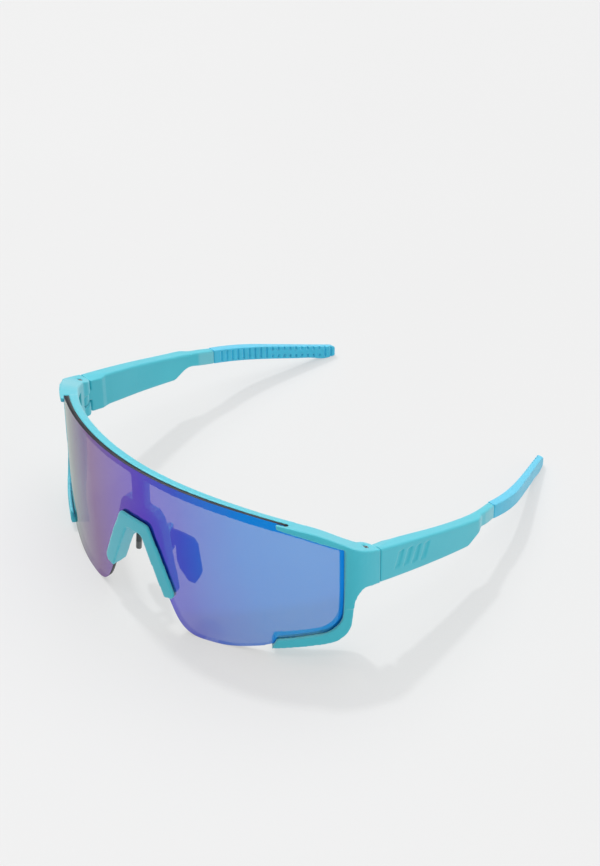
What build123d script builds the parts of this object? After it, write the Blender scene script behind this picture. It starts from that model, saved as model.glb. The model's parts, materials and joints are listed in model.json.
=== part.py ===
from build123d import *
from math import atan2, cos, degrees, radians, sin
import os

os.makedirs("parts", exist_ok=True)

# Wraparound sport sunglasses, millimetres. They rest on the lens's two lower lobes and on both temple
# tips, on the plane z = 0. +Z is up, +Y runs back along the temples and +X is the wearer's left.
# The origin is on the floor, under the middle of the whole object. The sketches below are drawn with an
# origin CENTRE_SHIFT further back, and every part is moved by CENTRE_SHIFT before it is written.

# Driving dimensions
LENS_RADIUS = 85.9  # outer face of the cylindrical lens
LENS_THICKNESS = 1.6
LENS_AXIS_Y = 7.9  # the lens is part of a cylinder whose vertical axis stands here
LENS_TOP = 62.2
GAP = 0.12  # clearance between the lens and the frame all round
LIP = 1.5  # frame in front of the lens, at its ends
BACK = 3.3  # frame behind the lens
FLANGE = 1.2  # frame in front of the lens, at the nose
NOSE_DEPTH = 3.5  # nose arch behind the lens
WALL_LAP = 0.6  # the walls behind the lens reach this far into those in front, outside the lens
END_ANGLE = 45.0  # the frame's end pieces are drawn square to this direction
HINGE_X = 68.0
HINGE_Y = -39.2
SPLIT_Y = HINGE_Y + 3.35  # frame and temple meet on this plane
SPLIT_GAP = 0.12
OUTER_X = 71.8  # outer face at the split
SPLIT_TOP = 41.9
SPLIT_BOTTOM = 27.3
TIP_START_Y = 26.6  # the rubber tip begins here
TIP_END_Y = 77.1
FAR = 100.0  # reach of cutting and trimming solids

# Radii measured from the lens axis
LENS_BACK = LENS_RADIUS - LENS_THICKNESS
FRAME_FRONT = LENS_RADIUS + LIP
FRAME_SEAT = LENS_BACK - GAP
FRAME_BACK = FRAME_SEAT - BACK
FLANGE_FRONT = LENS_RADIUS + GAP + FLANGE
NOSE_BACK = FRAME_SEAT - NOSE_DEPTH
FRONT_Y = LENS_AXIS_Y - FRAME_FRONT
CENTRE_SHIFT = (FLANGE_FRONT - LENS_AXIS_Y - TIP_END_Y) / 2

# Hinge
LUG_R = 3.2
KNUCKLE_R = 2.7
KNUCKLE_LOW = 32.4
KNUCKLE_HIGH = 37.0
HINGE_GAP = 0.15
SCREW_R = 0.75
SCREW_TOP = 42.7
SCREW_BOTTOM = 27.9
HEAD_R = 0.9
HEAD_H = 1.1
HEAD_CHAMFER = 0.15
KNUCKLE_ARM_IN = 1.2  # the knuckle arm, measured from the hinge axis towards the wearer
KNUCKLE_ARM_OUT = 1.2
KNUCKLE_ARM_LENGTH = 5.0
SLOT_W = 0.4
SLOT_DEPTH = 0.5
SLOT_LENGTH = 1.2
RUNNING = 0.05  # radial running clearance
INSERT_R = 1.4
INSERT_H = 3.2
SNUG = 0.02  # radial clearance of a part that is pressed or screwed in
HEAD_GAP = 0.08  # radial clearance round the screw's head

# Nose pads: each turns a little about a vertical pin held between two ears behind the nose arch
PAD_X = 7.4
PAD_Y = -69.2
PAD_SPLAY = 43.0  # angle of the pad from straight back
PAD_LEAN = 4.5  # its lower end leans outwards
PAD_THICKNESS = 2.0
PAD_ROOT_R = 1.15
ROOT_LOW = 28.2
ROOT_HIGH = 35.6
EAR_R = 1.3
EAR_HEIGHT = 1.3
EAR_FEET = [(10.2, -72.7), (7.0, -73.2)]  # corners of the ear inside the nose arch
PIN_R = 0.6
PIN_DEPTH = 1.0  # how far the pin goes into each ear
PIN_LOW = ROOT_LOW - HINGE_GAP - PIN_DEPTH
PIN_HIGH = ROOT_HIGH + HINGE_GAP + PIN_DEPTH


def ring(inner, outer):
    """A tall vertical tube about the lens axis, between two radii."""
    with BuildPart() as tube:
        with BuildSketch(Plane.XY.offset(-FAR)):
            with Locations((0, LENS_AXIS_Y)):
                Circle(outer)
                Circle(inner, mode=Mode.SUBTRACT)
        extrude(amount=2 * FAR)
    return tube.part


def facing(angle):
    """A plane through the lens axis whose normal points outwards at this angle from straight ahead."""
    a = radians(angle)
    return Plane(origin=(0, LENS_AXIS_Y, 0), x_dir=(cos(a), sin(a), 0), z_dir=(sin(a), -cos(a), 0))


def mirrored(solid):
    """The same solid for the other side of the face."""
    return mirror(solid, about=Plane.YZ)


def below_brow(drop):
    """Everything under the brow's top face, which slopes back, lowered by drop."""
    with BuildPart() as under:
        with BuildSketch(Plane.YZ):
            with BuildLine():
                Spline(
                    (FRONT_Y - 1, LENS_TOP + 0.6 - drop),
                    (-75.5, 61.75 - drop),
                    (-68.0, 59.4 - drop),
                    (-61.0, 56.4 - drop),
                    (-46.0, 49.5 - drop),
                    tangents=[(1, -0.16), (1, -0.48)],
                )
                Polyline((-46.0, 49.5 - drop), (-46.0, -1), (FRONT_Y - 1, -1))
                Line((FRONT_Y - 1, -1), (FRONT_Y - 1, LENS_TOP + 0.6 - drop))
            make_face()
        extrude(amount=FAR, both=True)
    return under.part


brow_trim = below_brow(0)

# Lens: the middle is cut square to the front, the two ends square to END_ANGLE.
NOTCH_TOP = 37.3
LENS_TOP_JOIN_X = 52.0
LENS_LOW_JOIN_X = 46.0
LENS_END = [(-14.2, 55.2), (-5.2, 52.2), (4.0, 48.4), (9.0, 45.2), (8.8, 33.0), (8.2, 22.0), (7.9, 9.6)]
LENS_END += [(-14.5, 5.0), (-19.2, 3.1), (-19.2, 52.0)]
LENS_CORNER = 7.5


def lens_middle(grow):
    """The lens between its ends, with every edge moved out by grow."""
    with BuildPart() as middle:
        with BuildSketch(facing(0)):
            with BuildLine():
                Polyline((0, LENS_TOP + 5), (LENS_TOP_JOIN_X, LENS_TOP + 5), (LENS_TOP_JOIN_X, LENS_TOP / 2))
                Line((LENS_TOP_JOIN_X, LENS_TOP / 2), (LENS_LOW_JOIN_X, LENS_TOP / 2))
                Line((LENS_LOW_JOIN_X, LENS_TOP / 2), (LENS_LOW_JOIN_X, 3.15))
                Spline((LENS_LOW_JOIN_X, 3.15), (40.0, 1.4), (31.0, 0), tangents=[(-1, -0.33), (-1, 0)])
                Line((31.0, 0), (26.0, 0))
                Spline((26.0, 0), (19.0, 2.5), (13.7, 12.1), tangents=[(-1, 0), (-0.42, 1)])
                Line((13.7, 12.1), (4.4, 36.1))
                RadiusArc((4.4, 36.1), (2.9, NOTCH_TOP), 1.6)
                Polyline((2.9, NOTCH_TOP), (0, NOTCH_TOP), (0, LENS_TOP + 5))
            make_face()
            mirror(about=Plane.YZ)
            if grow:
                offset(amount=grow)
        extrude(amount=FAR)
    return middle.part


def lens_end(grow):
    """The end of the lens that sits in the frame's groove, with every edge moved out by grow."""
    with BuildPart() as end:
        with BuildSketch(facing(END_ANGLE)) as outline:
            with BuildLine():
                Polyline(*LENS_END, close=True)
            make_face()
            fillet(outline.vertices().sort_by(Axis.Y)[2], radius=LENS_CORNER)
            if grow:
                offset(amount=grow, kind=Kind.INTERSECTION)
        extrude(amount=FAR)
    return end.part


def lens_blank(grow, top_trim):
    """The whole lens as a flat cut, before it is curved: middle and both ends."""
    middle = lens_middle(grow)
    end = lens_end(grow)
    with BuildPart() as blank:
        add(middle)
        add(top_trim, mode=Mode.INTERSECT)
        add(end)
        add(mirrored(end))
    return blank.part


lens_cut = lens_blank(0, below_brow(0.15))
lens_shell = ring(LENS_BACK, LENS_RADIUS)

with BuildPart() as lens:
    add(lens_cut)
    add(lens_shell, mode=Mode.INTERSECT)

# The space that the frame leaves for the lens
lens_space_cut = lens_blank(GAP, below_brow(-5))
lens_space_shell = ring(FRAME_SEAT, LENS_RADIUS + GAP)

with BuildPart() as lens_space:
    add(lens_space_cut)
    add(lens_space_shell, mode=Mode.INTERSECT)

# Frame end piece, left: a hook round the lens. Its front lip and its back wall have their own openings.
HOOK_OUTLINE = [(-16.6, 3.0), (9.6, 6.9), (11.4, 27.0), (12.2, 60.0), (-14.5, 60.0), (-14.6, 7.4)]
FRONT_OPENING = [(-14.5, 55.0), (-5.2, 51.6), (7.9, 45.9), (7.9, 33.7), (7.0, 11.4), (-15.6, 6.8)]
BACK_OPENING = [(-14.5, 51.6), (-5.2, 48.4), (6.2, 43.4), (6.2, 22.0), (5.6, 8.9), (-15.8, 5.4)]
HOOK_OUTER_CORNER = 9.5
OPENING_TOP_CORNER = 6.0
OPENING_LOW_CORNER = 9.0
TOP_SLOPE = 0.3  # fall of the end piece's top face towards the back


def hook_opening(points):
    """The opening of the hook, which runs out past its open end."""
    with BuildSketch(facing(END_ANGLE)) as hole:
        with BuildLine():
            Polyline((-40, points[0][1] + 9), *points, (-40, points[-1][1] - 4), close=True)
        make_face()
        fillet(hole.vertices().sort_by(Axis.X)[-1], radius=OPENING_TOP_CORNER)
        fillet(hole.vertices().sort_by(Axis.Y)[2], radius=OPENING_LOW_CORNER)
    with BuildPart() as cut:
        extrude(hole.sketch, amount=FAR)
    return cut.part


def hook_wall(opening, inner, outer):
    """One wall of the end piece: the hook's outline less an opening, between two radii."""
    shell = ring(inner, outer)
    cut = hook_opening(opening)
    with BuildPart() as wall:
        with BuildSketch(facing(END_ANGLE)) as outline:
            with BuildLine():
                Polyline(*HOOK_OUTLINE, close=True)
            make_face()
            fillet(outline.vertices().sort_by(Axis.Y)[1], radius=HOOK_OUTER_CORNER)
        extrude(amount=FAR)
        add(cut, mode=Mode.SUBTRACT)
        add(shell, mode=Mode.INTERSECT)
    return wall.part


# The top face of the end piece and of the lug follows the arc of the frame and falls towards the back.
with BuildPart() as below_end:
    with BuildSketch(facing(END_ANGLE).offset(FRAME_FRONT)):
        with BuildLine():
            Spline(
                (-18.0, 58.4),
                (-10.0, 56.1),
                (-0.4, 52.7),
                (6.0, 49.3),
                (10.5, 46.9),
                (14.8, 45.0),
                (19.8, 43.6),
                (26.0, 42.2),
                tangents=[(1, -0.24), (1, -0.24)],
            )
            Polyline((26.0, 42.2), (26.0, -20), (-18.0, -20), (-18.0, 58.4))
        make_face()
    a = radians(END_ANGLE)
    extrude(amount=40, dir=(-sin(a), cos(a), -TOP_SLOPE))

front_wall = hook_wall(FRONT_OPENING, FRAME_SEAT, FRAME_FRONT)
back_wall = hook_wall(BACK_OPENING, FRAME_BACK, FRAME_SEAT + WALL_LAP)

with BuildPart() as hook:
    add(front_wall)
    add(back_wall)
    add(below_end.part, mode=Mode.INTERSECT)

# Hinge lug, left: plan outline from the front corner to the split, trimmed in side view and by the top face
LUG_FRONT_Y = -49.5
LUG_TOP = 50.0

with BuildPart() as lug:
    with BuildSketch(Plane.XY.offset(10)):
        with BuildLine():
            Line((HINGE_X, SPLIT_Y), (OUTER_X, SPLIT_Y))
            Spline(
                (OUTER_X, SPLIT_Y),
                (71.0, -42.2),
                (69.4, -46.0),
                (67.3, -48.0),
                tangents=[(-0.05, -1), (-1, -0.8)],
            )
            Polyline((67.3, -48.0), (63.5, -46.8), (62.6, -44.4), (HINGE_X - LUG_R, -42.2))
            Line((HINGE_X - LUG_R, -42.2), (HINGE_X - LUG_R, HINGE_Y))
            RadiusArc((HINGE_X - LUG_R, HINGE_Y), (HINGE_X, SPLIT_Y), LUG_R)
        make_face()
    extrude(amount=FAR)
    with BuildSketch(Plane.YZ):
        with BuildLine():
            Polyline((LUG_FRONT_Y, LUG_TOP), (SPLIT_Y, LUG_TOP), (SPLIT_Y, SPLIT_BOTTOM), (-41.5, 28.6))
            Spline((-41.5, 28.6), (-44.6, 26.3), (-46.0, 21.0), tangents=[(-1, 0.2), (-0.1, -1)])
            Polyline((-46.0, 21.0), (LUG_FRONT_Y, 21.0), (LUG_FRONT_Y, LUG_TOP))
        make_face()
    extrude(amount=FAR, both=True, mode=Mode.INTERSECT)
    add(below_end.part, mode=Mode.INTERSECT)

# Room for the temple's knuckle between the two lugs, open to the back and to the inside
ROOM_R = KNUCKLE_R + HINGE_GAP + 0.1
ROOM_REACH = 8.0
ROOM_WIDTH = 3.0

with BuildPart() as knuckle_room:
    with BuildSketch(Plane.XY.offset(KNUCKLE_LOW)):
        with Locations((HINGE_X, HINGE_Y)):
            Circle(ROOM_R)
            Rectangle(ROOM_REACH, ROOM_REACH, align=(Align.MAX, Align.MIN))
            Rectangle(ROOM_WIDTH, ROOM_REACH, align=(Align.CENTER, Align.MIN))
        with Locations((HINGE_X, HINGE_Y - KNUCKLE_ARM_IN - HINGE_GAP)):
            Rectangle(ROOM_REACH, ROOM_REACH / 2, align=(Align.MAX, Align.MIN))
    extrude(amount=KNUCKLE_HIGH - KNUCKLE_LOW)

# Holes for the screw, its head and the threaded insert, each run out past the lug
RUN_OUT = 5.0

with BuildPart() as screw_room:
    with BuildSketch(Plane.XY.offset(SCREW_BOTTOM - RUN_OUT)):
        with Locations((HINGE_X, HINGE_Y)):
            Circle(SCREW_R + SNUG)
    extrude(amount=SCREW_TOP - SCREW_BOTTOM + RUN_OUT)
    with BuildSketch(Plane.XY.offset(SCREW_TOP - HEAD_H)):
        with Locations((HINGE_X, HINGE_Y)):
            Circle(HEAD_R + HEAD_GAP)
    extrude(amount=HEAD_H + RUN_OUT)
    with BuildSketch(Plane.XY.offset(SCREW_BOTTOM - RUN_OUT)):
        with Locations((HINGE_X, HINGE_Y)):
            Circle(INSERT_R + SNUG)
    extrude(amount=RUN_OUT + INSERT_H)

# Brow bar behind the lens, with the post that carries the nose arch
BROW_END_X = 51.5
POST_HALF = 3.0
POST_FOOT = 43.0  # inside the nose arch
POST_TOP = 58.4  # inside the brow

brow_shell = ring(FRAME_BACK, FRAME_SEAT)
arch_shell = ring(NOSE_BACK, FRAME_SEAT + WALL_LAP)
flange_shell = ring(FRAME_SEAT, FLANGE_FRONT)

with BuildPart() as brow:
    with BuildSketch(facing(0)):
        with BuildLine():
            low = Spline((0, 57.4), (18, 56.5), (35, 54.6), (BROW_END_X, 50.4), tangents=[(1, 0), (1, -0.3)])
            Polyline(low @ 1, (BROW_END_X, LENS_TOP + 4), (0, LENS_TOP + 4), (0, 57.4))
        make_face()
        with BuildLine():
            Polyline((0, POST_FOOT), (POST_HALF, POST_FOOT), (POST_HALF, POST_TOP - 1.6))
            Polyline((POST_HALF, POST_TOP - 1.6), (POST_HALF + 1, POST_TOP), (0, POST_TOP), (0, POST_FOOT))
        make_face()
        mirror(about=Plane.YZ)
    extrude(amount=FAR)
    add(brow_shell, mode=Mode.INTERSECT)
    add(brow_trim, mode=Mode.INTERSECT)

# Nose arch: a deep skirt behind the lens and a thin flange in front of it, joined through the lens's notch
with BuildPart() as nose_skirt:
    with BuildSketch(facing(0)):
        with BuildLine():
            Polyline((0, 45.8), (6.6, 45.8), (9.0, 43.2), (10.6, 37.0), (11.3, 30.0), (13.7, 14.4))
            Polyline((13.7, 14.4), (13.0, 12.6), (12.2, 13.4), (3.6, 35.2), (2.4, 36.0), (0, 36.0), (0, 45.8))
        make_face()
        mirror(about=Plane.YZ)
    extrude(amount=FAR)
    add(arch_shell, mode=Mode.INTERSECT)

with BuildPart() as nose_flange:
    with BuildSketch(facing(0)):
        with BuildLine():
            Polyline((0, 41.5), (5.3, 41.5), (6.4, 41.0), (7.0, 39.9), (11.2, 30.0))
            Polyline((11.2, 30.0), (16.1, 16.8), (16.2, 15.1))
            Polyline((16.2, 15.1), (15.2, 13.8), (12.2, 13.4), (3.6, 35.2), (2.4, 36.0), (0, 36.0), (0, 41.5))
        make_face()
        mirror(about=Plane.YZ)
    extrude(amount=FAR)
    add(flange_shell, mode=Mode.INTERSECT)

# Ears behind the nose arch that hold the pad's pin, left, and the space that the pin needs in them
PIN_PLANE = Plane(origin=(PAD_X, PAD_Y, 0), x_dir=(sin(radians(PAD_SPLAY)), cos(radians(PAD_SPLAY)), 0))

with BuildPart() as ears:
    for ear_low in (ROOT_LOW - HINGE_GAP - EAR_HEIGHT, ROOT_HIGH + HINGE_GAP):
        with BuildSketch(Plane.XY.offset(ear_low)):
            with BuildLine():
                Polyline((PAD_X - EAR_R, PAD_Y), (PAD_X + EAR_R, PAD_Y), *EAR_FEET, close=True)
            make_face()
            with Locations((PAD_X, PAD_Y)):
                Circle(EAR_R)
        extrude(amount=EAR_HEIGHT)

with BuildPart() as pin_room:
    with BuildSketch(PIN_PLANE.offset(PIN_LOW)):
        Circle(PIN_R + RUNNING)
    extrude(amount=PIN_HIGH - PIN_LOW)

# The frame: one moulding
frame_solid = brow.part + nose_skirt.part + nose_flange.part
for side_piece in (ears.part, hook.part, lug.part):
    frame_solid = frame_solid + side_piece + mirrored(side_piece)
frame_solid = frame_solid - lens_space.part
for side_room in (knuckle_room.part, screw_room.part, pin_room.part):
    frame_solid = frame_solid - side_room - mirrored(side_room)

with BuildPart() as frame_front:
    add(frame_solid)

# Hinge screw: a flat head with a cross recess
with BuildPart() as hinge_screw_left:
    with BuildSketch(Plane.XY.offset(SCREW_BOTTOM)):
        with Locations((HINGE_X, HINGE_Y)):
            Circle(SCREW_R)
    extrude(amount=SCREW_TOP - HEAD_H - SCREW_BOTTOM)
    with BuildSketch(Plane.XY.offset(SCREW_TOP - HEAD_H)):
        with Locations((HINGE_X, HINGE_Y)):
            Circle(HEAD_R)
    extrude(amount=HEAD_H)
    chamfer(hinge_screw_left.faces().sort_by(Axis.Z)[-1].edges(), length=HEAD_CHAMFER)
    with BuildSketch(Plane.XY.offset(SCREW_TOP)):
        with Locations((HINGE_X, HINGE_Y)):
            Rectangle(SLOT_LENGTH, SLOT_W)
            Rectangle(SLOT_W, SLOT_LENGTH)
    extrude(amount=-SLOT_DEPTH, mode=Mode.SUBTRACT)

# Threaded insert, pressed up into the lower lug
with BuildPart() as hinge_insert_left:
    with BuildSketch(Plane.XY.offset(SCREW_BOTTOM)):
        with Locations((HINGE_X, HINGE_Y)):
            Circle(INSERT_R)
            Circle(SCREW_R + SNUG, mode=Mode.SUBTRACT)
    extrude(amount=INSERT_H - SNUG)

# Nose pad core: a pin that turns in the ears and a flat strip that carries the pad
STRIP_LOW = 28.7
STRIP_HEIGHT = 2.5
STRIP_THICKNESS = 0.6
STRIP_LENGTH = 5.0

with BuildPart() as nose_pad_core_left:
    with BuildSketch(PIN_PLANE.offset(PIN_LOW + RUNNING)):
        Circle(PIN_R)
    extrude(amount=PIN_HIGH - PIN_LOW - 2 * RUNNING)
    with BuildSketch(PIN_PLANE.offset(STRIP_LOW)):
        Rectangle(STRIP_LENGTH, STRIP_THICKNESS, align=(Align.MIN, Align.CENTER))
    extrude(amount=STRIP_HEIGHT)

# Nose pad: a leaf of soft rubber moulded round the pin and the strip
PAD_OUTLINE = [(-0.4, 3.5), (4.2, 1.0), (8.0, -1.6), (9.2, -4.0), (10.3, -15.0), (9.4, -17.4), (7.6, -20.2)]
PAD_OUTLINE += [(5.3, -19.0), (2.5, -13.4), (1.6, -9.5), (1.6, -3.7), (-0.4, -3.7)]
PAD_MIDDLE_Z = 32.0
PAD_CORNER = 0.35
PAD_EDGE = 0.75

lean = radians(PAD_LEAN)
pad_plane = Plane(
    origin=(PAD_X, PAD_Y, PAD_MIDDLE_Z),
    x_dir=PIN_PLANE.x_dir,
    z_dir=(cos(radians(PAD_SPLAY)) * cos(lean), -sin(radians(PAD_SPLAY)) * cos(lean), sin(lean)),
)

with BuildPart() as nose_pad_left:
    with BuildSketch(pad_plane) as leaf:
        with BuildLine():
            Polyline(*PAD_OUTLINE, close=True)
        make_face()
        fillet(leaf.vertices(), radius=PAD_CORNER)
    extrude(amount=PAD_THICKNESS / 2, both=True)
    fillet(nose_pad_left.faces().filter_by(GeomType.PLANE).sort_by(SortBy.AREA)[-2:].edges(), radius=PAD_EDGE)
    with BuildSketch(PIN_PLANE.offset(ROOT_LOW)):
        Circle(PAD_ROOT_R)
    extrude(amount=ROOT_HIGH - ROOT_LOW)
    with BuildSketch(PIN_PLANE.offset(ROOT_LOW - 1)):
        Circle(PIN_R + SNUG)
    extrude(amount=ROOT_HIGH - ROOT_LOW + 2, mode=Mode.SUBTRACT)
    with BuildSketch(PIN_PLANE.offset(STRIP_LOW - SNUG)):
        Rectangle(STRIP_LENGTH + SNUG, STRIP_THICKNESS + 2 * SNUG, align=(Align.MIN, Align.CENTER))
    extrude(amount=STRIP_HEIGHT + 2 * SNUG, mode=Mode.SUBTRACT)

# Temple core: a flat metal strip from inside the temple, through its collar, into the tip
CORE_FRONT_Y = -2.0
CORE_BACK_Y = 64.0
CORE_FRONT_Z = 26.6
CORE_BACK_Z = 6.2
CORE_HEIGHT = 2.4
CORE_THICKNESS = 0.8
CORE_PATH = [(71.1, CORE_FRONT_Y - 5), (71.1, CORE_FRONT_Y), (70.2, 15.0), (68.1, TIP_START_Y), (66.9, 36.0)]
CORE_PATH += [(64.8, 44.5), (60.5, 55.0), (56.4, CORE_BACK_Y), (54.1, CORE_BACK_Y + 5)]


def core_solid(grow):
    """The core's strip, with every face moved out by grow."""
    rise = CORE_HEIGHT / 2 + grow
    with BuildPart() as strip:
        with BuildSketch(Plane.XY):
            with BuildLine():
                Spline(*CORE_PATH)
            trace(line_width=CORE_THICKNESS + 2 * grow)
        extrude(amount=FAR)
        with BuildSketch(Plane.YZ):
            with BuildLine():
                Polyline(
                    (CORE_FRONT_Y - grow, CORE_FRONT_Z - rise),
                    (CORE_BACK_Y + grow, CORE_BACK_Z - rise),
                    (CORE_BACK_Y + grow, CORE_BACK_Z + rise),
                    (CORE_FRONT_Y - grow, CORE_FRONT_Z + rise),
                    close=True,
                )
            make_face()
        extrude(amount=FAR, both=True, mode=Mode.INTERSECT)
    return strip.part


core_room = core_solid(SNUG)
core_strip = core_solid(0)

with BuildPart() as temple_core_left:
    add(core_strip)

# Temple, left: plan outline, trimmed in side view
TEMPLE_FRONT_Y = SPLIT_Y + SPLIT_GAP
BLOCK_X = HINGE_X - KNUCKLE_ARM_IN  # inner face of the block that carries the knuckle
BLOCK_BACK_Y = -29.8
COLLAR_OUTER_X = 69.5
COLLAR_INNER_X = 66.4
COLLAR_TOP = 21.2
COLLAR_BOTTOM = 14.9
TEMPLE_TOP = SPLIT_TOP - 0.05
TEMPLE_BOTTOM = SPLIT_BOTTOM - 0.05
TEMPLE_EDGE = 0.9
LONG_EDGE = 12.0  # the edges longer than this are the ones that are rounded
FALL_X = 70.2  # near the hinge the top face falls from here inwards, like that of the lug
FALL_Z = TEMPLE_TOP - TOP_SLOPE * (FALL_X - BLOCK_X + 1)
FALL_SLOPE = 0.29
FALL_LENGTH = 25.0
RELIEF_X = 68.4  # from here inwards the temple's front face leans back, to open the joint on the inside
RELIEF = 0.7

with BuildPart() as temple_body:
    with BuildSketch(Plane.XY):
        with BuildLine():
            Spline(
                (OUTER_X, TEMPLE_FRONT_Y),
                (72.4, -27.8),
                (73.1, -10.8),
                (73.3, 2.0),
                (73.2, 13.0),
                tangents=[(0.1, 1), (-0.03, 1)],
            )
            Spline(
                (73.2, 13.0),
                (71.7, 16.8),
                (70.8, 21.0),
                (COLLAR_OUTER_X, TIP_START_Y),
                tangents=[(-0.03, 1), (-0.2, 1)],
            )
            Line((COLLAR_OUTER_X, TIP_START_Y), (COLLAR_INNER_X, TIP_START_Y))
            Spline(
                (COLLAR_INNER_X, TIP_START_Y),
                (67.9, 19.0),
                (68.9, 6.0),
                (68.7, -10.8),
                (67.5, -27.6),
                tangents=[(0.2, -1), (-0.05, -1)],
            )
            Polyline((67.5, -27.6), (BLOCK_X, BLOCK_BACK_Y), (BLOCK_X, TEMPLE_FRONT_Y + RELIEF))
            Line((BLOCK_X, TEMPLE_FRONT_Y + RELIEF), (RELIEF_X, TEMPLE_FRONT_Y))
            Line((RELIEF_X, TEMPLE_FRONT_Y), (OUTER_X, TEMPLE_FRONT_Y))
        make_face()
    extrude(amount=FAR)
    with BuildSketch(Plane.YZ):
        with BuildLine():
            Spline(
                (TEMPLE_FRONT_Y, TEMPLE_TOP),
                (-10.0, 33.1),
                (14.0, 24.9),
                (TIP_START_Y, COLLAR_TOP),
                tangents=[(1, -0.34), (1, -0.3)],
            )
            Line((TIP_START_Y, COLLAR_TOP), (TIP_START_Y, COLLAR_BOTTOM))
            Spline(
                (TIP_START_Y, COLLAR_BOTTOM),
                (19.5, 17.0),
                (14.9, 18.2),
                (8.2, 15.9),
                tangents=[(-1, 0.31), (-1, -0.2)],
            )
            Spline((8.2, 15.9), (-8.0, 19.9), (TEMPLE_FRONT_Y, TEMPLE_BOTTOM), tangents=[(-1, 0.23), (-1, 0.26)])
            Line((TEMPLE_FRONT_Y, TEMPLE_BOTTOM), (TEMPLE_FRONT_Y, TEMPLE_TOP))
        make_face()
    extrude(amount=FAR, both=True, mode=Mode.INTERSECT)
    long_edges = [e for e in temple_body.edges() if e.length > LONG_EDGE and abs(e.tangent_at(0.5).Z) < 0.9]
    fillet(long_edges, radius=TEMPLE_EDGE)
    with BuildSketch(Plane.XZ.offset(-TEMPLE_FRONT_Y)):
        with BuildLine():
            Polyline((FALL_X, TEMPLE_TOP), (BLOCK_X - 1, TEMPLE_TOP), (BLOCK_X - 1, FALL_Z), close=True)
        make_face()
    extrude(amount=FALL_LENGTH, dir=(0, 1, -FALL_SLOPE), mode=Mode.SUBTRACT)

# Four slanted bars sunk in the temple's outer face
BAR_COUNT = 4
BAR_STEP = 4.2
BAR_WIDTH = 2.4
BAR_HEIGHT = 6.4
BAR_SLANT = 2.2
BAR_FALL = 0.3
BAR_DEPTH = 0.45
BAR_FIRST_Y = -29.5
BAR_MIDDLE_Z = 32.6
BAR_TURN = 0.045  # the temple's outer face turns outwards by this much where the bars are
bar_origin = (72.28 - BAR_DEPTH, BAR_FIRST_Y, BAR_MIDDLE_Z)
bar_plane = Plane(origin=bar_origin, x_dir=(BAR_TURN, 1, 0), z_dir=(1, -BAR_TURN, 0))

with BuildPart() as bars:
    with BuildSketch(bar_plane):
        for i in range(BAR_COUNT):
            left = i * BAR_STEP
            low = -BAR_HEIGHT / 2 - left * BAR_FALL
            with BuildLine():
                Polyline(
                    (left, low),
                    (left + BAR_WIDTH, low),
                    (left + BAR_WIDTH + BAR_SLANT, low + BAR_HEIGHT),
                    (left + BAR_SLANT, low + BAR_HEIGHT),
                    close=True,
                )
            make_face()
    extrude(amount=RUN_OUT)

# Knuckle: the part of the temple that turns between the lugs
with BuildPart() as knuckle:
    with BuildSketch(Plane.XY.offset(KNUCKLE_LOW + HINGE_GAP)):
        with Locations((HINGE_X, HINGE_Y)):
            Circle(KNUCKLE_R)
        with Locations((HINGE_X - KNUCKLE_ARM_IN, HINGE_Y)):
            Rectangle(KNUCKLE_ARM_IN + KNUCKLE_ARM_OUT, KNUCKLE_ARM_LENGTH, align=(Align.MIN, Align.MIN))
    extrude(amount=KNUCKLE_HIGH - KNUCKLE_LOW - 2 * HINGE_GAP)

with BuildPart() as temple_left:
    add(temple_body.part)
    add(bars.part, mode=Mode.SUBTRACT)
    add(knuckle.part)
    with BuildSketch(Plane.XY.offset(KNUCKLE_LOW)):
        with Locations((HINGE_X, HINGE_Y)):
            Circle(SCREW_R + RUNNING)
    extrude(amount=KNUCKLE_HIGH - KNUCKLE_LOW, mode=Mode.SUBTRACT)
    add(core_room, mode=Mode.SUBTRACT)

# Rubber tip, left
TIP_EDGE = 0.4
TIP_END_R = 1.4
TIP_SLOPE = 0.32
TIP_OUTER = [(68.4, 35.4), (66.1, 44.0), (62.6, 52.7), (58.9, 61.4), (52.5, 76.75)]
TIP_INNER = [(65.2, 34.4), (63.0, 43.0), (60.0, 51.7), (56.6, 60.4), (50.2, 76.05)]
tip_outer = Spline((COLLAR_OUTER_X, TIP_START_Y + SNUG), *TIP_OUTER)
tip_inner = Spline((COLLAR_INNER_X, TIP_START_Y + SNUG), *TIP_INNER)

with BuildPart() as tip_body:
    with BuildSketch(Plane.XY.offset(-1)):
        with BuildLine():
            add(tip_outer)
            RadiusArc(tip_outer @ 1, tip_inner @ 1, -TIP_END_R)
            add(tip_inner)
            Line(tip_inner @ 0, tip_outer @ 0)
        make_face()
    extrude(amount=40)
    with BuildSketch(Plane.YZ):
        with BuildLine():
            Polyline((TIP_START_Y, COLLAR_BOTTOM + 0.15), (TIP_START_Y, COLLAR_TOP), (75.2, 4.85))
            Spline((75.2, 4.85), (TIP_END_Y, 2.9), (75.0, 0), tangents=[(1, -0.33), (-1, 0)])
            Line((75.0, 0), (73.6, 0))
            Spline((73.6, 0), (68.5, 1.5), (60.0, 4.2), tangents=[(-1, 0), (-1, TIP_SLOPE)])
            Line((60.0, 4.2), (TIP_START_Y, COLLAR_BOTTOM + 0.15))
        make_face()
    extrude(amount=FAR, both=True, mode=Mode.INTERSECT)
    fillet([e for e in tip_body.edges() if e.length > LONG_EDGE], radius=TIP_EDGE)

# Grip grooves across the tip's inner face: full ones first, then pairs of short ones, then two more full ones
GROOVE_STEP = 2.48
GROOVE_WIDTH = 0.8
GROOVE_DEPTH = 0.6
GROOVE_FIRST = 3.6
FULL_GROOVES = 9
SHORT_PAIRS = 9
END_GROOVES = 2
GRIP_HALF = 2.45  # half height of the grooves, measured upright
BAND_HALF = 1.0  # half height of the smooth band between the short grooves
TIP_MIDDLE_Z = (COLLAR_TOP + COLLAR_BOTTOM) / 2


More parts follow.
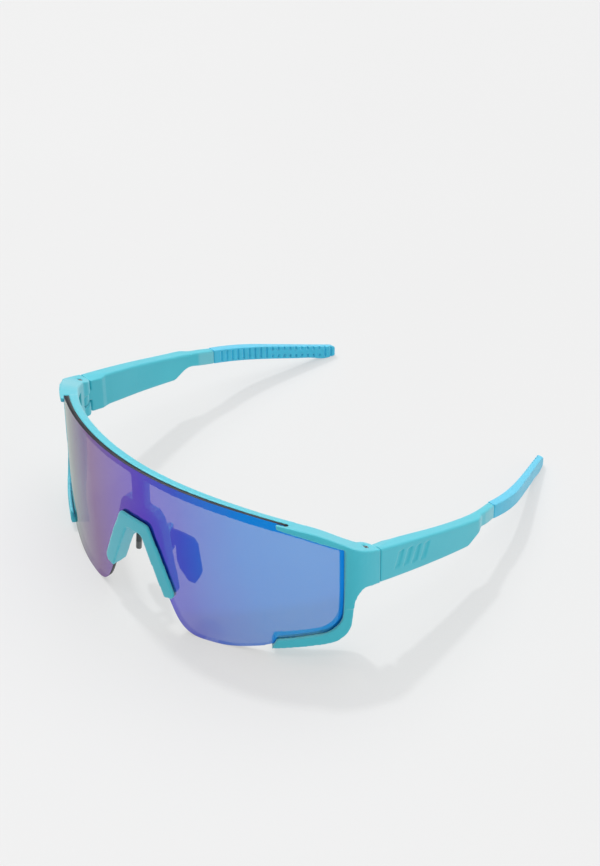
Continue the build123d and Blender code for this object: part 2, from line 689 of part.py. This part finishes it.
def side_strip(first_y, last_y, half):
    """A slab along the tip's middle, seen from the side, between two places on its length."""
    first_z = TIP_MIDDLE_Z - TIP_SLOPE * (first_y - TIP_START_Y)
    last_z = TIP_MIDDLE_Z - TIP_SLOPE * (last_y - TIP_START_Y)
    with BuildPart() as slab:
        with BuildSketch(Plane.YZ):
            with BuildLine():
                Polyline(
                    (first_y, first_z - half),
                    (last_y, last_z - half),
                    (last_y, last_z + half),
                    (first_y, first_z + half),
                    close=True,
                )
            make_face()
        extrude(amount=FAR)
    return slab.part


def groove_y(number):
    """How far back a groove lies, counted along the tip's inner face."""
    return (tip_inner @ ((GROOVE_FIRST + number * GROOVE_STEP) / tip_inner.length)).Y


grip_field = side_strip(TIP_START_Y, TIP_END_Y, GRIP_HALF)
band = side_strip(groove_y(FULL_GROOVES - 0.5), groove_y(FULL_GROOVES + SHORT_PAIRS - 0.5), BAND_HALF)

with BuildPart() as grooves:
    with BuildSketch(Plane.XY.offset(-1)):
        for i in range(FULL_GROOVES + SHORT_PAIRS + END_GROOVES):
            along = (GROOVE_FIRST + i * GROOVE_STEP) / tip_inner.length
            spot = tip_inner @ along
            run = tip_inner % along
            with Locations(Location((spot.X, spot.Y, 0), (0, 0, degrees(atan2(run.Y, run.X))))):
                Rectangle(GROOVE_WIDTH, 2 * GROOVE_DEPTH)
    extrude(amount=40)
    add(grip_field, mode=Mode.INTERSECT)

groove_cut = grooves.part - band

with BuildPart() as temple_tip_left:
    add(tip_body.part)
    add(groove_cut, mode=Mode.SUBTRACT)
    add(core_room, mode=Mode.SUBTRACT)


def right_of(left_part):
    """The right-hand partner of a left-hand part."""
    other = mirrored(left_part)
    with BuildPart() as partner:
        add(other)
    return partner


temple_right = right_of(temple_left.part)
temple_tip_right = right_of(temple_tip_left.part)
temple_core_right = right_of(temple_core_left.part)
nose_pad_right = right_of(nose_pad_left.part)
nose_pad_core_right = right_of(nose_pad_core_left.part)
hinge_screw_right = right_of(hinge_screw_left.part)
hinge_insert_right = right_of(hinge_insert_left.part)

# Every part moves so that the origin lies under the middle of the whole object.
frame_parts = [frame_front, lens, hinge_screw_left, hinge_screw_right, hinge_insert_left, hinge_insert_right]
pad_parts = [nose_pad_left, nose_pad_right, nose_pad_core_left, nose_pad_core_right]
temple_parts = [temple_left, temple_right, temple_core_left, temple_core_right]
tip_parts = [temple_tip_left, temple_tip_right]
for piece in frame_parts + pad_parts + temple_parts + tip_parts:
    piece.part.move(Location((0, CENTRE_SHIFT, 0)))

frame_front.part.label = "frame_front"
export_step(frame_front.part, "parts/frame_front.step")
lens.part.label = "lens"
export_step(lens.part, "parts/lens.step")
temple_left.part.label = "temple_left"
export_step(temple_left.part, "parts/temple_left.step")
temple_right.part.label = "temple_right"
export_step(temple_right.part, "parts/temple_right.step")
temple_tip_left.part.label = "temple_tip_left"
export_step(temple_tip_left.part, "parts/temple_tip_left.step")
temple_tip_right.part.label = "temple_tip_right"
export_step(temple_tip_right.part, "parts/temple_tip_right.step")
temple_core_left.part.label = "temple_core_left"
export_step(temple_core_left.part, "parts/temple_core_left.step")
temple_core_right.part.label = "temple_core_right"
export_step(temple_core_right.part, "parts/temple_core_right.step")
nose_pad_left.part.label = "nose_pad_left"
export_step(nose_pad_left.part, "parts/nose_pad_left.step")
nose_pad_right.part.label = "nose_pad_right"
export_step(nose_pad_right.part, "parts/nose_pad_right.step")
nose_pad_core_left.part.label = "nose_pad_core_left"
export_step(nose_pad_core_left.part, "parts/nose_pad_core_left.step")
nose_pad_core_right.part.label = "nose_pad_core_right"
export_step(nose_pad_core_right.part, "parts/nose_pad_core_right.step")
hinge_screw_left.part.label = "hinge_screw_left"
export_step(hinge_screw_left.part, "parts/hinge_screw_left.step")
hinge_screw_right.part.label = "hinge_screw_right"
export_step(hinge_screw_right.part, "parts/hinge_screw_right.step")
hinge_insert_left.part.label = "hinge_insert_left"
export_step(hinge_insert_left.part, "parts/hinge_insert_left.step")
hinge_insert_right.part.label = "hinge_insert_right"
export_step(hinge_insert_right.part, "parts/hinge_insert_right.step")
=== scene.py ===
import json
import math

import bmesh
import bpy
from mathutils import Matrix, Vector
from mathutils.bvhtree import BVHTree

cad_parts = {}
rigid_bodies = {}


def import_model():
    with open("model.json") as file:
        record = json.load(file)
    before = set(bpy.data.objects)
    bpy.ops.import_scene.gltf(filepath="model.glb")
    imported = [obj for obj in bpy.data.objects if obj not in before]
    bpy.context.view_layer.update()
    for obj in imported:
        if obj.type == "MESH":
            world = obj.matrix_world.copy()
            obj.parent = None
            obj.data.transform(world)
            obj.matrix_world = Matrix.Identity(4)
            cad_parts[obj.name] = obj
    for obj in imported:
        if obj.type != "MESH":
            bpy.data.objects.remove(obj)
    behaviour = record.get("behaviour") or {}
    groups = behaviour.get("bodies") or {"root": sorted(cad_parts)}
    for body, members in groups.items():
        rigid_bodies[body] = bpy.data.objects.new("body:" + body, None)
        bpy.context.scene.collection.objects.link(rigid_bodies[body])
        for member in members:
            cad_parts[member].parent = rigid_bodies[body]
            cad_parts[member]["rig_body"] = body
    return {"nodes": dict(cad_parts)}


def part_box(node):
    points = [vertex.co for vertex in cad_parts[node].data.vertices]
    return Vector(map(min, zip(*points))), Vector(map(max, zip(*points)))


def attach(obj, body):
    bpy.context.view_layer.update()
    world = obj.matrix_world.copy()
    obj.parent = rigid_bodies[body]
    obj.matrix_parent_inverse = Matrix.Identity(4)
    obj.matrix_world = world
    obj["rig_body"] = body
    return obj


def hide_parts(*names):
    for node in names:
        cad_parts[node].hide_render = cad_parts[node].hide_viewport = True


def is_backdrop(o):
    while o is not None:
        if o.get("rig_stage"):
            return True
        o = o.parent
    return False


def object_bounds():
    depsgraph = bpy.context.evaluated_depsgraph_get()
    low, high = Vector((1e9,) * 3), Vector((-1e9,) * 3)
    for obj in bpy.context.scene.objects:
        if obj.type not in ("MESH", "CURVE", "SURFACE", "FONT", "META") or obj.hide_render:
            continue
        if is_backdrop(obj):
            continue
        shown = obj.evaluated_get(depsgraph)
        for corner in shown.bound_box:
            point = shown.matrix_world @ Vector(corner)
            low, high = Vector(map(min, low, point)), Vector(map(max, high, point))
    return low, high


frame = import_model()
cad_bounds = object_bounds()

MM = 0.001
SIDES = ("left", "right")


# ---------------------------------------------------------------- node helpers
def new_material(name):
    """An empty node material: returns the material, its node tree and its output node."""
    material = bpy.data.materials.new(name)
    material.use_nodes = True
    tree = material.node_tree
    tree.nodes.clear()
    out = tree.nodes.new("ShaderNodeOutputMaterial")
    return material, tree, out


def link(tree, source, target):
    tree.links.new(source, target)


def add_node(tree, kind, **values):
    """Adds a node; values set its inputs by name, with _ for a space."""
    node = tree.nodes.new(kind)
    for key, value in values.items():
        node.inputs[key.replace("_", " ")].default_value = value
    return node


def object_coords(tree):
    return tree.nodes.new("ShaderNodeTexCoord").outputs["Object"]


def surface(tree, output):
    """An output of the Geometry node, such as Normal or Backfacing."""
    return tree.nodes.new("ShaderNodeNewGeometry").outputs[output]


def noise(tree, scale, detail=3.0, roughness=0.5):
    node = add_node(tree, "ShaderNodeTexNoise", Scale=scale, Detail=detail, Roughness=roughness)
    link(tree, object_coords(tree), node.inputs["Vector"])
    return node.outputs["Fac"]


def ramp(tree, factor, stops):
    """A colour ramp from (position, colour) pairs."""
    node = tree.nodes.new("ShaderNodeValToRGB")
    elements = node.color_ramp.elements
    while len(elements) < len(stops):
        elements.new(0.5)
    for element, (position, colour) in zip(elements, stops):
        element.position = position
        element.color = (*colour, 1)
    link(tree, factor, node.inputs["Fac"])
    return node.outputs["Color"]


def maths(tree, operation, *values, clamp=False):
    """A Math node; each value is a number or another node's output."""
    node = tree.nodes.new("ShaderNodeMath")
    node.operation = operation
    node.use_clamp = clamp
    for slot, value in zip(node.inputs, values):
        if isinstance(value, (int, float)):
            slot.default_value = value
        else:
            link(tree, value, slot)
    return node.outputs["Value"]


def uneven(tree, base, span, scale, detail=3.0, roughness=0.5):
    """A value that wanders from base to base + span with the noise."""
    return maths(tree, "MULTIPLY_ADD", noise(tree, scale, detail, roughness), span, base)


def mix_colour(tree, factor, a, b):
    node = tree.nodes.new("ShaderNodeMix")
    node.data_type = "RGBA"
    link(tree, factor, node.inputs[0])
    for slot, value in ((node.inputs[6], a), (node.inputs[7], b)):
        if isinstance(value, tuple):
            slot.default_value = (*value, 1)
        else:
            link(tree, value, slot)
    return node.outputs[2]


def bump(tree, height, strength, distance):
    node = add_node(tree, "ShaderNodeBump", Strength=strength, Distance=distance)
    link(tree, height, node.inputs["Height"])
    return node.outputs["Normal"]


def edge_wear(tree):
    """High on raised edges, near zero on flat faces."""
    spread = maths(tree, "SUBTRACT", surface(tree, "Pointiness"), 0.5)
    return maths(tree, "MULTIPLY", spread, 2.5, clamp=True)


def painted_top_light(tree, strength):
    """How much a face looks up: the mask for painted top light, a paler colour on up-facing faces."""
    parts = tree.nodes.new("ShaderNodeSeparateXYZ")
    link(tree, surface(tree, "Normal"), parts.inputs[0])
    return maths(tree, "MULTIPLY", parts.outputs["Z"], strength, clamp=True)


def facing_ratio(tree):
    """1 where the surface faces the viewer, 0 at grazing view."""
    geometry = tree.nodes.new("ShaderNodeNewGeometry")
    dot = tree.nodes.new("ShaderNodeVectorMath")
    dot.operation = "DOT_PRODUCT"
    link(tree, geometry.outputs["Normal"], dot.inputs[0])
    link(tree, geometry.outputs["Incoming"], dot.inputs[1])
    return maths(tree, "ABSOLUTE", dot.outputs["Value"])


def finish_solid(tree, shade, out, colour, roughness, normal):
    """Joins colour, roughness and normal to a principled shader, and the shader to the output."""
    link(tree, colour, shade.inputs["Base Color"])
    link(tree, roughness, shade.inputs["Roughness"])
    link(tree, normal, shade.inputs["Normal"])
    link(tree, shade.outputs["BSDF"], out.inputs["Surface"])


def finish_pane(tree, out, reflected, roughness, through):
    """A surface that reflects one colour and lets another through; returns its reflecting shader."""
    glossy = tree.nodes.new("ShaderNodeBsdfGlossy")
    link(tree, reflected, glossy.inputs["Color"])
    link(tree, roughness, glossy.inputs["Roughness"])
    clear = tree.nodes.new("ShaderNodeBsdfTransparent")
    link(tree, through, clear.inputs["Color"])
    total = tree.nodes.new("ShaderNodeAddShader")
    link(tree, glossy.outputs["BSDF"], total.inputs[0])
    link(tree, clear.outputs["BSDF"], total.inputs[1])
    link(tree, total.outputs["Shader"], out.inputs["Surface"])
    return glossy


# ---------------------------------------------------------------- materials
COLLAR_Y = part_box("temple_left")[1].y - 7.5 * MM  # the paler sleeve at the temple's end starts here
SLEEVE_EDGE = 700.0  # how fast the sleeve's colour sets in, per metre
SLEEVE_SHARE = 0.42


def moulded_plastic():
    """Matte turquoise nylon: fine spark-eroded grain, faint flow mottling, slightly polished edges."""
    material, tree, out = new_material("moulded_plastic")
    shade = add_node(tree, "ShaderNodeBsdfPrincipled", IOR=1.5, Sheen_Weight=0.35)
    mottle = noise(tree, 55.0, 4.0)
    base = ramp(tree, mottle, ((0.3, (0.016, 0.53, 0.66)), (0.72, (0.024, 0.57, 0.70))))
    place = tree.nodes.new("ShaderNodeSeparateXYZ")
    link(tree, object_coords(tree), place.inputs[0])
    past_collar = maths(tree, "SUBTRACT", place.outputs["Y"], COLLAR_Y)
    sleeve = maths(tree, "MULTIPLY", past_collar, SLEEVE_EDGE, clamp=True)
    base = mix_colour(tree, maths(tree, "MULTIPLY", sleeve, SLEEVE_SHARE), base, (0.30, 0.68, 0.76))
    # Painted top light: faces that look up are mixed towards a paler, less saturated turquoise
    base = mix_colour(tree, painted_top_light(tree, 1.0), base, (0.085, 0.515, 0.62))
    worn = mix_colour(tree, edge_wear(tree), base, (0.16, 0.70, 0.80))
    grain = bump(tree, noise(tree, 5200.0, 2.0), 0.25, 0.06 * MM)
    finish_solid(tree, shade, out, worn, uneven(tree, 0.36, 0.12, 900.0, 2.0), grain)
    return material


def grip_rubber(name, low, high, edge, top_light_share):
    """Satin rubber: soft mottling, fine pores, a little pale wear on edges and painted top light (a paler
    colour) on faces that look up.
    """
    material, tree, out = new_material(name)
    shade = add_node(tree, "ShaderNodeBsdfPrincipled", IOR=1.48, Sheen_Weight=0.4, Subsurface_Weight=0.05)
    shade.inputs["Subsurface Radius"].default_value = (0.6 * MM, 1.0 * MM, 1.2 * MM)
    base = ramp(tree, noise(tree, 120.0, 5.0, 0.6), ((0.3, low), (0.7, high)))
    # Painted top light: faces that look up are mixed towards the pale edge colour, by how much they look up
    top_lit = mix_colour(tree, painted_top_light(tree, top_light_share), base, edge)
    worn = mix_colour(tree, edge_wear(tree), top_lit, edge)
    pores = bump(tree, noise(tree, 3600.0, 4.0, 0.7), 0.3, 0.08 * MM)
    finish_solid(tree, shade, out, worn, uneven(tree, 0.45, 0.18, 600.0), pores)
    return material


def turned_metal(name, colour, roughness):
    """Turned metal: rings from the lathe, fine scratches and dull patches."""
    material, tree, out = new_material(name)
    shade = add_node(tree, "ShaderNodeBsdfPrincipled", Metallic=1.0)
    dull = tuple(0.72 * channel for channel in colour)
    stained = ramp(tree, noise(tree, 400.0, 5.0, 0.65), ((0.35, dull), (0.65, colour)))
    rings = add_node(tree, "ShaderNodeTexWave", Scale=900.0, Distortion=1.5)
    rings.bands_direction = "Z"
    link(tree, object_coords(tree), rings.inputs["Vector"])
    turned = bump(tree, rings.outputs["Fac"], 0.2, 0.03 * MM)
    finish_solid(tree, shade, out, stained, uneven(tree, roughness, 0.2, 1500.0), turned)
    return material


def mirror_coat():
    """The lens's outer face: a thin interference mirror over smoke plastic. Its colour turns with the
    view, and from inside it hardly reflects."""
    material, tree, out = new_material("mirror_coat")
    haze = noise(tree, 26.0, 4.0, 0.6)
    centred = maths(tree, "SUBTRACT", facing_ratio(tree), 0.025)
    shifted = maths(tree, "MULTIPLY_ADD", haze, 0.05, centred)
    mirror_colour = ramp(
        tree,
        shifted,
        (
            (0.0, (0.62, 0.70, 0.66)),
            (0.14, (0.44, 0.46, 0.46)),
            (0.32, (0.24, 0.15, 0.33)),
            (0.545, (0.12, 0.065, 0.52)),
            (0.635, (0.058, 0.087, 0.57)),
            (0.73, (0.004, 0.20, 0.70)),
            (0.82, (0.002, 0.27, 0.78)),
        ),
    )
    through_colour = ramp(
        tree,
        shifted,
        (
            (0.0, (0.03, 0.04, 0.03)),
            (0.30, (0.11, 0.11, 0.08)),
            (0.58, (0.20, 0.20, 0.14)),
            (0.80, (0.24, 0.20, 0.05)),
        ),
    )
    seen_colour = mix_colour(tree, surface(tree, "Backfacing"), mirror_colour, (0.10, 0.09, 0.08))
    smudges = uneven(tree, 0.02, 0.06, 70.0, 5.0, 0.65)
    glossy = finish_pane(tree, out, seen_colour, smudges, through_colour)
    link(tree, bump(tree, noise(tree, 24.0, 2.0), 0.04, 0.4 * MM), glossy.inputs["Normal"])
    return material


def smoke_back():
    """The lens's inner face: clear smoke plastic with a weak reflection and faint wipe marks."""
    material, tree, out = new_material("smoke_back")
    weak_stops = ((0.0, (0.5, 0.5, 0.5)), (0.25, (0.12, 0.12, 0.13)), (0.7, (0.045, 0.045, 0.05)))
    weak = ramp(tree, facing_ratio(tree), weak_stops)
    wipes = uneven(tree, 0.02, 0.08, 90.0, 5.0, 0.7)
    tint = ramp(tree, noise(tree, 30.0, 2.0), ((0.2, (0.90, 0.88, 0.90)), (0.8, (0.95, 0.93, 0.95))))
    finish_pane(tree, out, weak, wipes, tint)
    return material


def smoke_rim():
    """The lens's cut edge: dark smoke plastic with fine polishing marks, clearer when seen from inside."""
    material, tree, out = new_material("smoke_rim")
    shade = add_node(tree, "ShaderNodeBsdfPrincipled", IOR=1.58, Specular_IOR_Level=0.3)
    base = ramp(tree, noise(tree, 160.0, 4.0), ((0.3, (0.008, 0.009, 0.012)), (0.7, (0.018, 0.02, 0.026))))
    marks = bump(tree, noise(tree, 2500.0, 2.0), 0.2, 0.03 * MM)
    finish_solid(tree, shade, out, base, uneven(tree, 0.30, 0.2, 800.0), marks)
    clear = add_node(tree, "ShaderNodeBsdfTransparent", Color=(0.62, 0.60, 0.66, 1))
    mixed = tree.nodes.new("ShaderNodeMixShader")
    link(tree, surface(tree, "Backfacing"), mixed.inputs[0])
    link(tree, shade.outputs["BSDF"], mixed.inputs[1])
    link(tree, clear.outputs["BSDF"], mixed.inputs[2])
    link(tree, mixed.outputs["Shader"], out.inputs["Surface"])
    return material


TABLE_GLOW = 1.81  # light from the table itself, as a share of its own colour


def studio_floor():
    """A pale translucent table with the slightest tooth, softly lit from below."""
    material, tree, out = new_material("studio_floor")
    shade = add_node(tree, "ShaderNodeBsdfPrincipled", Roughness=0.75, Specular_IOR_Level=0.25)
    base = ramp(tree, noise(tree, 3.0, 3.0), ((0.2, (0.268, 0.268, 0.268)), (0.8, (0.276, 0.276, 0.276))))
    link(tree, base, shade.inputs["Base Color"])
    link(tree, base, shade.inputs["Emission Color"])
    shade.inputs["Emission Strength"].default_value = TABLE_GLOW
    link(tree, bump(tree, noise(tree, 700.0, 3.0), 0.05, 0.1 * MM), shade.inputs["Normal"])
    link(tree, shade.outputs["BSDF"], out.inputs["Surface"])
    return material


PLASTIC = moulded_plastic()
# The last colour serves both the edge wear and the painted top light; the last number is the share of
# painted top light
TIP_RUBBER = grip_rubber("tip_rubber", (0.014, 0.51, 0.76), (0.022, 0.57, 0.84), (0.10, 0.52, 0.72), 0.9)
PAD_RUBBER = grip_rubber("pad_rubber", (0.010, 0.010, 0.012), (0.020, 0.020, 0.024), (0.05, 0.05, 0.06), 0.2)
STEEL = turned_metal("screw_steel", (0.30, 0.30, 0.31), 0.34)
BRASS = turned_metal("insert_brass", (0.55, 0.40, 0.16), 0.28)


# ---------------------------------------------------------------- pieces
def link_object(name, data):
    obj = bpy.data.objects.new(name, data)
    bpy.context.scene.collection.objects.link(obj)
    return obj


def bake_modifiers(obj):
    """Replaces the object's mesh by its evaluated one and drops the modifiers."""
    graph = bpy.context.evaluated_depsgraph_get()
    mesh = bpy.data.meshes.new_from_object(obj.evaluated_get(graph))
    obj.modifiers.clear()
    obj.data = mesh


def moulded(name, node, material, voxel, passes):
    """A soft-edged copy of a CAD node: closed, evenly meshed and relaxed so that its edges are rounded."""
    source = frame["nodes"][node]
    obj = link_object(name, source.data.copy())
    obj.data.materials.clear()
    remesh = obj.modifiers.new("even", "REMESH")
    remesh.mode = "VOXEL"
    remesh.voxel_size = voxel
    relax = obj.modifiers.new("relax", "SMOOTH")
    relax.factor = 0.5
    relax.iterations = passes
    bake_modifiers(obj)
    obj.data.materials.append(material)
    obj.data.shade_smooth()
    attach(obj, source["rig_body"])
    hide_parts(node)


moulded("frame_moulding", "frame_front", PLASTIC, voxel=0.34 * MM, passes=10)
for side in SIDES:
    moulded(f"temple_moulding_{side}", f"temple_{side}", PLASTIC, voxel=0.28 * MM, passes=8)
    moulded(f"tip_rubber_{side}", f"temple_tip_{side}", TIP_RUBBER, voxel=0.22 * MM, passes=3)
    moulded(f"pad_rubber_{side}", f"nose_pad_{side}", PAD_RUBBER, voxel=0.22 * MM, passes=3)

# The hardware keeps its CAD shape and gets a metal
HARDWARE = {"hinge_screw": STEEL, "temple_core": STEEL, "nose_pad_core": STEEL, "hinge_insert": BRASS}
for side in SIDES:
    for node, metal in HARDWARE.items():
        holder = frame["nodes"][f"{node}_{side}"]
        holder.data.materials.clear()
        holder.data.materials.append(metal)


# Lens: rebuilt as an even shell on the same cylinder, read off the CAD lens column by column.
LENS_OUTER = 85.9 * MM
LENS_INNER = 84.3 * MM
LENS_AXIS = Vector((0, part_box("lens")[0].y + LENS_OUTER, 0))
COLUMNS = 420
ROWS = 26
END_MARGIN = 0.0006  # radians kept clear of the CAD lens's ends
PROBE_INSET = 0.05 * MM  # the probes run this far inside the CAD lens's two faces
PROBE_START = 10 * MM  # and start this far below and above it
SHORTEST_COLUMN = 2 * MM
RIM_BEVEL = 0.14 * MM
COAT_FACE, BACK_SIDE, RIM_FACE = 0, 1, 2  # material slots


def lens_columns():
    """Vertices of the outer and inner face, bottom to top, for each column across the lens."""
    tree = BVHTree.FromObject(frame["nodes"]["lens"], bpy.context.evaluated_depsgraph_get())
    low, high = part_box("lens")
    below = Vector((0, 0, low.z - PROBE_START))
    above = Vector((0, 0, high.z + PROBE_START))
    upwards = Vector((0, 0, 1))
    reach = math.asin(high.x / LENS_OUTER) - END_MARGIN
    for i in range(COLUMNS + 1):
        angle = -reach + 2 * reach * i / COLUMNS
        outward = Vector((math.sin(angle), -math.cos(angle), 0))
        column = []
        for radius, inset in ((LENS_OUTER, -PROBE_INSET), (LENS_INNER, PROBE_INSET)):
            foot = LENS_AXIS + radius * outward
            probe = foot + inset * outward
            under = tree.ray_cast(probe + below, upwards)[0]
            over = tree.ray_cast(probe + above, -upwards)[0]
            if under is None or over is None or over.z - under.z < SHORTEST_COLUMN:
                break
            step = (over.z - under.z) / ROWS
            column.append([(foot.x, foot.y, under.z + step * j) for j in range(ROWS + 1)])
        if len(column) == 2:
            yield column


def lens_shell():
    """The lens as one closed shell with a bevelled rim and a material for each kind of face."""
    bm = bmesh.new()
    grid = [[[bm.verts.new(spot) for spot in face] for face in column] for column in lens_columns()]
    for a, b in zip(grid, grid[1:]):
        for j in range(ROWS):
            bm.faces.new((a[0][j], b[0][j], b[0][j + 1], a[0][j + 1])).material_index = COAT_FACE
            bm.faces.new((a[1][j + 1], b[1][j + 1], b[1][j], a[1][j])).material_index = BACK_SIDE
        bm.faces.new((a[1][0], b[1][0], b[0][0], a[0][0])).material_index = RIM_FACE
        bm.faces.new((a[0][ROWS], b[0][ROWS], b[1][ROWS], a[1][ROWS])).material_index = RIM_FACE
    for column in (grid[0], grid[-1]):
        for j in range(ROWS):
            corners = (column[0][j], column[1][j], column[1][j + 1], column[0][j + 1])
            bm.faces.new(corners).material_index = RIM_FACE
    bmesh.ops.recalc_face_normals(bm, faces=bm.faces)
    rim = [edge for edge in bm.edges if len({face.material_index for face in edge.link_faces}) == 2]
    bmesh.ops.bevel(
        bm, geom=rim, offset=RIM_BEVEL, segments=2, affect="EDGES", clamp_overlap=True, material=RIM_FACE
    )
    for edge in bm.edges:
        edge.smooth = len({face.material_index for face in edge.link_faces}) == 1
    mesh = bpy.data.meshes.new("lens_shield")
    bm.to_mesh(mesh)
    bm.free()
    return link_object("lens_shield", mesh)


shield = lens_shell()
for material in (mirror_coat(), smoke_back(), smoke_rim()):
    shield.data.materials.append(material)
shield.data.shade_smooth()
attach(shield, "frame")
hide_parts("lens")


# ---------------------------------------------------------------- floor, light and camera
FLOOR_HALF = 6  # metres
corners = [(x * FLOOR_HALF, y * FLOOR_HALF, 0) for x, y in ((-1, -1), (1, -1), (1, 1), (-1, 1))]
floor_mesh = bpy.data.meshes.new("floor")
floor_mesh.from_pydata(corners, [], [(0, 1, 2, 3)])
floor = link_object("floor", floor_mesh)
floor.data.materials.append(studio_floor())
floor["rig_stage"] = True

# A large bright dome overhead that falls off towards the horizon
world = bpy.data.worlds.new("studio")
bpy.context.scene.world = world
world.use_nodes = True
sky_tree = world.node_tree
height = sky_tree.nodes.new("ShaderNodeSeparateXYZ")
link(sky_tree, sky_tree.nodes.new("ShaderNodeTexCoord").outputs["Generated"], height.inputs[0])
dome = (
    (0.0, (0.16, 0.16, 0.16)),
    (0.40, (0.22, 0.22, 0.22)),
    (0.70, (0.62, 0.62, 0.62)),
    (1.0, (1.0, 1.0, 1.0)),
)
sky = sky_tree.nodes["Background"]
link(sky_tree, ramp(sky_tree, height.outputs["Z"], dome), sky.inputs["Color"])


def soft_sun(name, towards, spread, power):
    """A distant lamp shining along towards, with soft-edged shadows."""
    light = bpy.data.lights.new(name, "SUN")
    light.angle = math.radians(spread)
    light.energy = power
    obj = link_object(name, light)
    obj.rotation_euler = Vector(towards).to_track_quat("-Z", "Y").to_euler()


soft_sun("key", (0.53, -0.15, -1.0), 4.5, 1.0)
soft_sun("top_panel", (0.25, -0.25, -1.0), 70.0, 1.4)
soft_sun("side_panel", (-1.0, -0.2, -0.35), 50.0, 0.5)

AZIMUTH = math.radians(43.18)
ELEVATION = math.radians(37.78)
ROLL = math.radians(-0.59)
CAMERA_PLACE = (0.47124, -0.49852, 0.56423)
SENSOR_WIDTH = 36.0
FOCAL_LENGTH = 102.4
back = Vector((math.sin(AZIMUTH), -math.cos(AZIMUTH), math.tan(ELEVATION))).normalized()
level_right = Vector((math.cos(AZIMUTH), math.sin(AZIMUTH), 0))
level_up = back.cross(level_right)
right = math.cos(ROLL) * level_right + math.sin(ROLL) * level_up
up = -math.sin(ROLL) * level_right + math.cos(ROLL) * level_up
camera_data = bpy.data.cameras.new("camera")
camera_data.sensor_width = SENSOR_WIDTH
camera_data.lens = FOCAL_LENGTH
camera = link_object("camera", camera_data)
camera.matrix_world = Matrix.Translation(CAMERA_PLACE) @ Matrix((right, up, back)).transposed().to_4x4()
bpy.context.scene.camera = camera
bpy.context.scene.view_settings.view_transform = "Standard"

boxes = {"cad": cad_bounds, "visual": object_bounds()}
{key: [[float(c) for c in corner] for corner in value] for key, value in boxes.items()}
